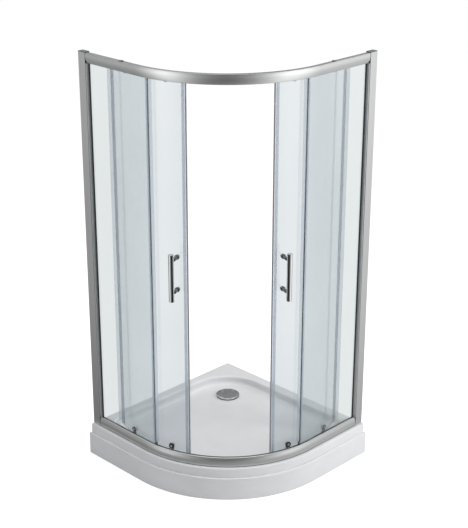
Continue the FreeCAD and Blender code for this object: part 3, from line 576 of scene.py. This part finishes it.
# Radii of the turned pieces and distances inwards along their axes.
tyre = [(3.05, 0), (9.2, 0), (10, 0.8), (10, 2.2), (9.3, 3.5), (10, 4.8), (10, 6.2), (9.2, 7), (7.2, 7),
        (6.8, 6.4), (5.2, 6.4), (4.8, 7), (3.05, 7), (3.05, 0)]
ring = [(6.35, 0.4), (7, -0.2), (9.6, -0.5), (11.8, -0.3), (12.7, 0.8), (12.8, 2.4), (12.8, 5.9),
        (6.35, 5.9), (6.35, 0.4)]
dome = [(0, 0.5), (3.6, 0.2), (4.9, 0), (5.8, 0.35), (6.2, 1.1), (6.2, 4), (0, 4)]
for side in ("left", "right"):
    joined(f"{side}_top_hangers", stainless)
    joined(f"{side}_bottom_carriers", chrome)
    joined(f"{side}_roller_bolts", stainless)
    rings = []
    for end, turn in wheel_turns.items():
        for level in ("top", "bottom"):
            node = f"{side}_{level}_{end}_wheel"
            wheel = from_front(tyre, turn, wheel_inset, middle(node), side)
            fit(wheel, f"{side}_{level}_{end}_roller", nylon, node)
        node = f"{side}_{end}_release_button"
        button = from_front(dome, turn, button_inset, middle(node), side)
        fit(button, f"{side}_{end}_button", chrome, node)
        rings.append(from_front(ring, turn, ring_inset, middle(node), side))
    caps = fit(gathered(rings), f"{side}_roller_rings", black_plastic, f"{side}_bottom_carriers")


# Handles: a chromed bar on each door, on two stepped posts with round collars against the glass.
# A screw with a chromed cap on the inside of the glass pulls each post tight.

# Chrome plate on the posts, darkened to grey as painted shade for the dark studio they mirror: satin,
# clouded in patches about 10 mm across.
chrome_with_painted_shade = uneven("chrome plate with painted shade", patch=(10, 10, 10), tones=("#6c6d6f", "#78797b"),
                       roughness=(0.14, 0.24), relief=0, sockets={"Metallic": 1.0})
low, high = corners("left_handle_bar")
handle_from_edge = 40
handle_turn = door_turn - degrees(handle_from_edge / door_radius)
bar_inset = 12
bar_radius = 11.5
bar_round = 1.5
bar_length = high.z - low.z
post_pitch = 145
# Radii of the posts and distances inwards from the axis of the bar.
post = [(0, 9.8), (6.4, 9.8), (6.4, 24), (8, 25.5), (8, 52), (8.6, 53), (10.2, 53), (11, 54), (11, 59.4),
        (10.4, 60), (0, 60)]
for side in ("left", "right"):
    bar_base = Vector((0, bar_inset - front_radius, low.z)) / 1000
    bar = turned([(0, 0), (bar_radius, 0), (bar_radius, bar_length), (0, bar_length)], bar_base, (0, 0, 1))
    soften(bar, bar_round)
    moved(bar, stood_open(side) @ round_front(handle_turn))
    fit(bar, f"{side}_handle_grip", chrome, f"{side}_handle_bar")
    heights = [middle("left_handle_bar") + post_pitch * share for share in (-0.5, 0.5)]
    posts = gathered(from_front(post, handle_turn, bar_inset, z, side) for z in heights)
    # The posts take the darkened chrome, a painted shade, in place of the bright chrome of the bar.
    fit(posts, f"{side}_handle_stems", chrome_with_painted_shade, f"{side}_handle_posts")
    joined(f"{side}_handle_fixings", chrome)


# Studio: a plain white floor under soft light, with the camera where the photograph was taken from.
# Polished faces mirror shaded tones round the object, which the camera itself doesn't see.

scene = bpy.context.scene
scene.view_settings.view_transform = "Standard"

# Tones round the object, from behind it by the left, the front and the right, as polished faces show them.
tones_round = [(0.0, 0.95), (0.17, 0.4), (0.235, 0.32), (0.25, 0.42), (0.27, 0.55), (0.30, 0.85),
               (0.33, 1.5), (0.36, 1.2), (0.39, 0.68), (0.42, 0.38), (0.46, 0.22), (0.5, 0.15), (0.54, 0.26),
               (0.58, 0.5), (0.62, 1.0), (0.655, 1.6), (0.70, 1.35), (0.735, 1.05), (0.755, 0.75),
               (0.775, 0.65), (0.82, 0.8), (1.0, 0.95)]


def toned(tree, share, tones):
    """A ramp of grey tones over a share from 0 to 1."""
    ramp = add(tree, "ShaderNodeValToRGB", links={"Fac": share})
    stops = ramp.color_ramp.elements
    for position, _ in tones[1:-1]:
        stops.new(position)
    for stop, (position, tone) in zip(stops, tones):
        stop.position = position
        stop.color = (tone, tone, tone, 1)
    return ramp.outputs["Color"]


def tone_by_side(tree, direction):
    """The tone of the studio on the side that a direction from the object points to."""
    rightward = add(tree, "ShaderNodeVectorMath", {"operation": "DOT_PRODUCT"})
    frontward = add(tree, "ShaderNodeVectorMath", {"operation": "DOT_PRODUCT"})
    for made, side in ((rightward, (1, 1, 0)), (frontward, (1, -1, 0))):
        tree.links.new(direction, made.inputs[0])
        made.inputs[1].default_value = side
    angle = add(tree, "ShaderNodeMath", {"operation": "ARCTAN2"})
    tree.links.new(rightward.outputs["Value"], angle.inputs[0])
    tree.links.new(frontward.outputs["Value"], angle.inputs[1])
    share = add(tree, "ShaderNodeMapRange", {"From Min": -pi, "From Max": pi},
                {"Value": angle.outputs["Value"]})
    return toned(tree, share.outputs["Result"], tones_round)


def only_mirrored(tree, rays):
    """1 for rays that come off a polished face, and 0 for those that passed through glass."""
    kept = add(tree, "ShaderNodeMath", {"operation": "SUBTRACT", "use_clamp": True})
    tree.links.new(rays.outputs["Is Glossy Ray"], kept.inputs[0])
    tree.links.new(rays.outputs["Is Transmission Ray"], kept.inputs[1])
    return kept.outputs["Value"]


# The sky: white to the camera and through glass, soft grey as light, and shaded tones in polished faces.
world = bpy.data.worlds.new("soft studio")
scene.world = world
world.use_nodes = True
tree = world.node_tree
rays = add(tree, "ShaderNodeLightPath")
sky = add(tree, "ShaderNodeTexCoord")
shown = add(tree, "ShaderNodeMath", {"operation": "MAXIMUM"})
tree.links.new(rays.outputs["Is Camera Ray"], shown.inputs[0])
tree.links.new(rays.outputs["Is Transmission Ray"], shown.inputs[1])
soft = add(tree, "ShaderNodeMixRGB", {"Color1": (0.41, 0.41, 0.425, 1), "Color2": (1, 1, 1, 1)},
           {"Fac": shown.outputs["Value"]})
upward = add(tree, "ShaderNodeSeparateXYZ", links={"Vector": sky.outputs["Generated"]})
ahead = add(tree, "ShaderNodeVectorMath", {"operation": "DOT_PRODUCT"})
tree.links.new(sky.outputs["Generated"], ahead.inputs[0])
ahead.inputs[1].default_value = (0.5 ** 0.5, -0.5 ** 0.5, 0)
ceiling = add(tree, "ShaderNodeMapRange", {"From Min": -0.9, "From Max": 0.9, "To Min": 0.24, "To Max": 0.5},
              {"Value": ahead.outputs["Value"]})
fading = add(tree, "ShaderNodeMapRange", {"From Min": 0.0, "From Max": 0.2, "To Min": 1.0, "To Max": 0.3},
             {"Value": upward.outputs["Z"]})
sides = add(tree, "ShaderNodeMixRGB", {"blend_type": "MULTIPLY", "Fac": 1.0},
            {"Color1": tone_by_side(tree, sky.outputs["Generated"]), "Color2": fading.outputs["Result"]})
above = add(tree, "ShaderNodeMapRange", {"From Min": 0.2, "From Max": 0.36},
            {"Value": upward.outputs["Z"]})
over_sides = add(tree, "ShaderNodeMixRGB", links={
    "Fac": above.outputs["Result"], "Color1": sides.outputs["Color"], "Color2": ceiling.outputs["Result"]})
overhead = add(tree, "ShaderNodeMapRange", {"From Min": 0.46, "From Max": 0.62},
               {"Value": upward.outputs["Z"]})
mirrored_sky = add(tree, "ShaderNodeMixRGB", {"Color2": (1.5, 1.5, 1.5, 1)},
                   {"Fac": overhead.outputs["Result"], "Color1": over_sides.outputs["Color"]})
shaded = only_mirrored(tree, rays)
final = add(tree, "ShaderNodeMixRGB", links={
    "Fac": shaded, "Color1": soft.outputs["Color"], "Color2": mirrored_sky.outputs["Color"]})
tree.links.new(final.outputs["Color"], tree.nodes["Background"].inputs["Color"])

# The floor: white paper, lifted to plain white for the camera, and shaded tones in polished faces.
floor_lift = 0.64
floor_mesh = bpy.data.meshes.new("studio_floor")
bm = bmesh.new()
bmesh.ops.create_grid(bm, x_segments=1, y_segments=1, size=40)
bm.to_mesh(floor_mesh)
bm.free()
floor = bpy.data.objects.new("studio_floor", floor_mesh)
scene.collection.objects.link(floor)
paper = bpy.data.materials.new("white studio paper")
paper.use_nodes = True
tree = paper.node_tree
shader = tree.nodes["Principled BSDF"]
shader.inputs["Base Color"].default_value = linear("#f2f2f2")
shader.inputs["Roughness"].default_value = 1.0
shader.inputs["Specular IOR Level"].default_value = 0.0
rays = add(tree, "ShaderNodeLightPath")
spot = add(tree, "ShaderNodeTexCoord")
lift = add(tree, "ShaderNodeMath", {"operation": "MULTIPLY"})
tree.links.new(rays.outputs["Is Camera Ray"], lift.inputs[0])
lift.inputs[1].default_value = floor_lift
glow = add(tree, "ShaderNodeEmission", {"Color": (1, 1, 1, 1)}, {"Strength": lift.outputs["Value"]})
lit = add(tree, "ShaderNodeAddShader")
tree.links.new(shader.outputs["BSDF"], lit.inputs[0])
tree.links.new(glow.outputs["Emission"], lit.inputs[1])
off = add(tree, "ShaderNodeVectorMath", {"operation": "LENGTH"})
tree.links.new(spot.outputs["Object"], off.inputs[0])
across = add(tree, "ShaderNodeVectorMath", {"operation": "DOT_PRODUCT"})
tree.links.new(spot.outputs["Object"], across.inputs[0])
across.inputs[1].default_value = (0.5 ** 0.5, 0.5 ** 0.5, 0)
near = add(tree, "ShaderNodeMapRange", {"From Min": -0.8, "From Max": 0.8, "To Min": 0.23, "To Max": 0.58},
           {"Value": across.outputs["Value"]})
bright = add(tree, "ShaderNodeMapRange", {"From Min": 4.0, "From Max": 8.0, "To Min": 1.0, "To Max": 1.5},
             {"Value": off.outputs["Value"]})
far = add(tree, "ShaderNodeMixRGB", {"blend_type": "MULTIPLY", "Fac": 1.0},
          {"Color1": tone_by_side(tree, spot.outputs["Object"]), "Color2": bright.outputs["Result"]})
away = add(tree, "ShaderNodeMapRange", {"From Min": 0.8, "From Max": 2.5}, {"Value": off.outputs["Value"]})
mirrored_floor = add(tree, "ShaderNodeMixRGB", links={
    "Fac": away.outputs["Result"], "Color1": near.outputs["Result"], "Color2": far.outputs["Color"]})
mirrored_tone = add(tree, "ShaderNodeEmission", links={"Color": mirrored_floor.outputs["Color"]})
seen_through = add(tree, "ShaderNodeEmission", {"Color": (1, 1, 1, 1)})
clear = add(tree, "ShaderNodeMixShader", links={"Fac": rays.outputs["Is Transmission Ray"]})
tree.links.new(lit.outputs["Shader"], clear.inputs[1])
tree.links.new(seen_through.outputs["Emission"], clear.inputs[2])
mixed = add(tree, "ShaderNodeMixShader", links={"Fac": only_mirrored(tree, rays)})
tree.links.new(clear.outputs["Shader"], mixed.inputs[1])
tree.links.new(mirrored_tone.outputs["Emission"], mixed.inputs[2])
tree.links.new(mixed.outputs["Shader"], tree.nodes["Material Output"].inputs["Surface"])
floor_mesh.materials.append(paper)

# Two soft lamps, which light the object and aren't seen themselves.
for name, place, aim, size, watts in (
    ("key from the right", (3.2, 1.9, 1.8), (0, 0, 0.6), 1.2, 56),
    ("top light", (0.0, 0.0, 4.4), (0, 0, 0.2), 2.4, 62),
):
    lamp = bpy.data.lights.new(name, "AREA")
    lamp.size = size
    lamp.energy = watts
    stand = bpy.data.objects.new(name, lamp)
    stand.location = place
    stand.rotation_euler = (Vector(aim) - Vector(place)).to_track_quat("-Z", "Y").to_euler()
    stand.visible_camera = stand.visible_glossy = stand.visible_transmission = False
    scene.collection.objects.link(stand)

# A dark card on edge in front of the opening, which only polished metal shows.
card_width, card_height = 1.3, 0.8
card_out, card_middle = 0.72, 0.8
card_mesh = bpy.data.meshes.new("dark_card")
bm = bmesh.new()
bmesh.ops.create_grid(bm, x_segments=1, y_segments=1, size=0.5)
bmesh.ops.scale(bm, vec=(card_width, card_height, 1), verts=bm.verts)
on_edge = Matrix.Rotation(radians(-45), 4, "Z") @ Matrix.Rotation(radians(90), 4, "X")
bm.transform(Matrix.Translation((card_out, -card_out, card_middle)) @ on_edge)
bm.to_mesh(card_mesh)
bm.free()
black = bpy.data.materials.new("black card")
black.use_nodes = True
black.node_tree.nodes["Principled BSDF"].inputs["Base Color"].default_value = linear("#101010")
black.node_tree.nodes["Principled BSDF"].inputs["Roughness"].default_value = 0.9
card_mesh.materials.append(black)
card = bpy.data.objects.new("dark_card", card_mesh)
scene.collection.objects.link(card)
card.visible_camera = card.visible_diffuse = card.visible_transmission = card.visible_shadow = False

# The camera, fitted to the photograph: the pixel that its axis meets, its focal length and its place.
picture_width, picture_height = 468, 528
axis_column, axis_row = 227.75, 265
focal_pixels = 1302
eye_out, eye_high = 3.7253, 3.0751
eye_dip = 22.098
camera = bpy.data.cameras.new("camera")
camera.sensor_width = 36
camera.lens = camera.sensor_width * focal_pixels / picture_height
camera.shift_x = (picture_width / 2 - axis_column) / picture_height
camera.shift_y = (axis_row - picture_height / 2) / picture_height
camera.clip_end = 200
viewer = bpy.data.objects.new("camera", camera)
viewer.location = (eye_out, -eye_out, eye_high)
viewer.rotation_euler = (radians(90 - eye_dip), 0, radians(45))
scene.collection.objects.link(viewer)
scene.camera = viewer
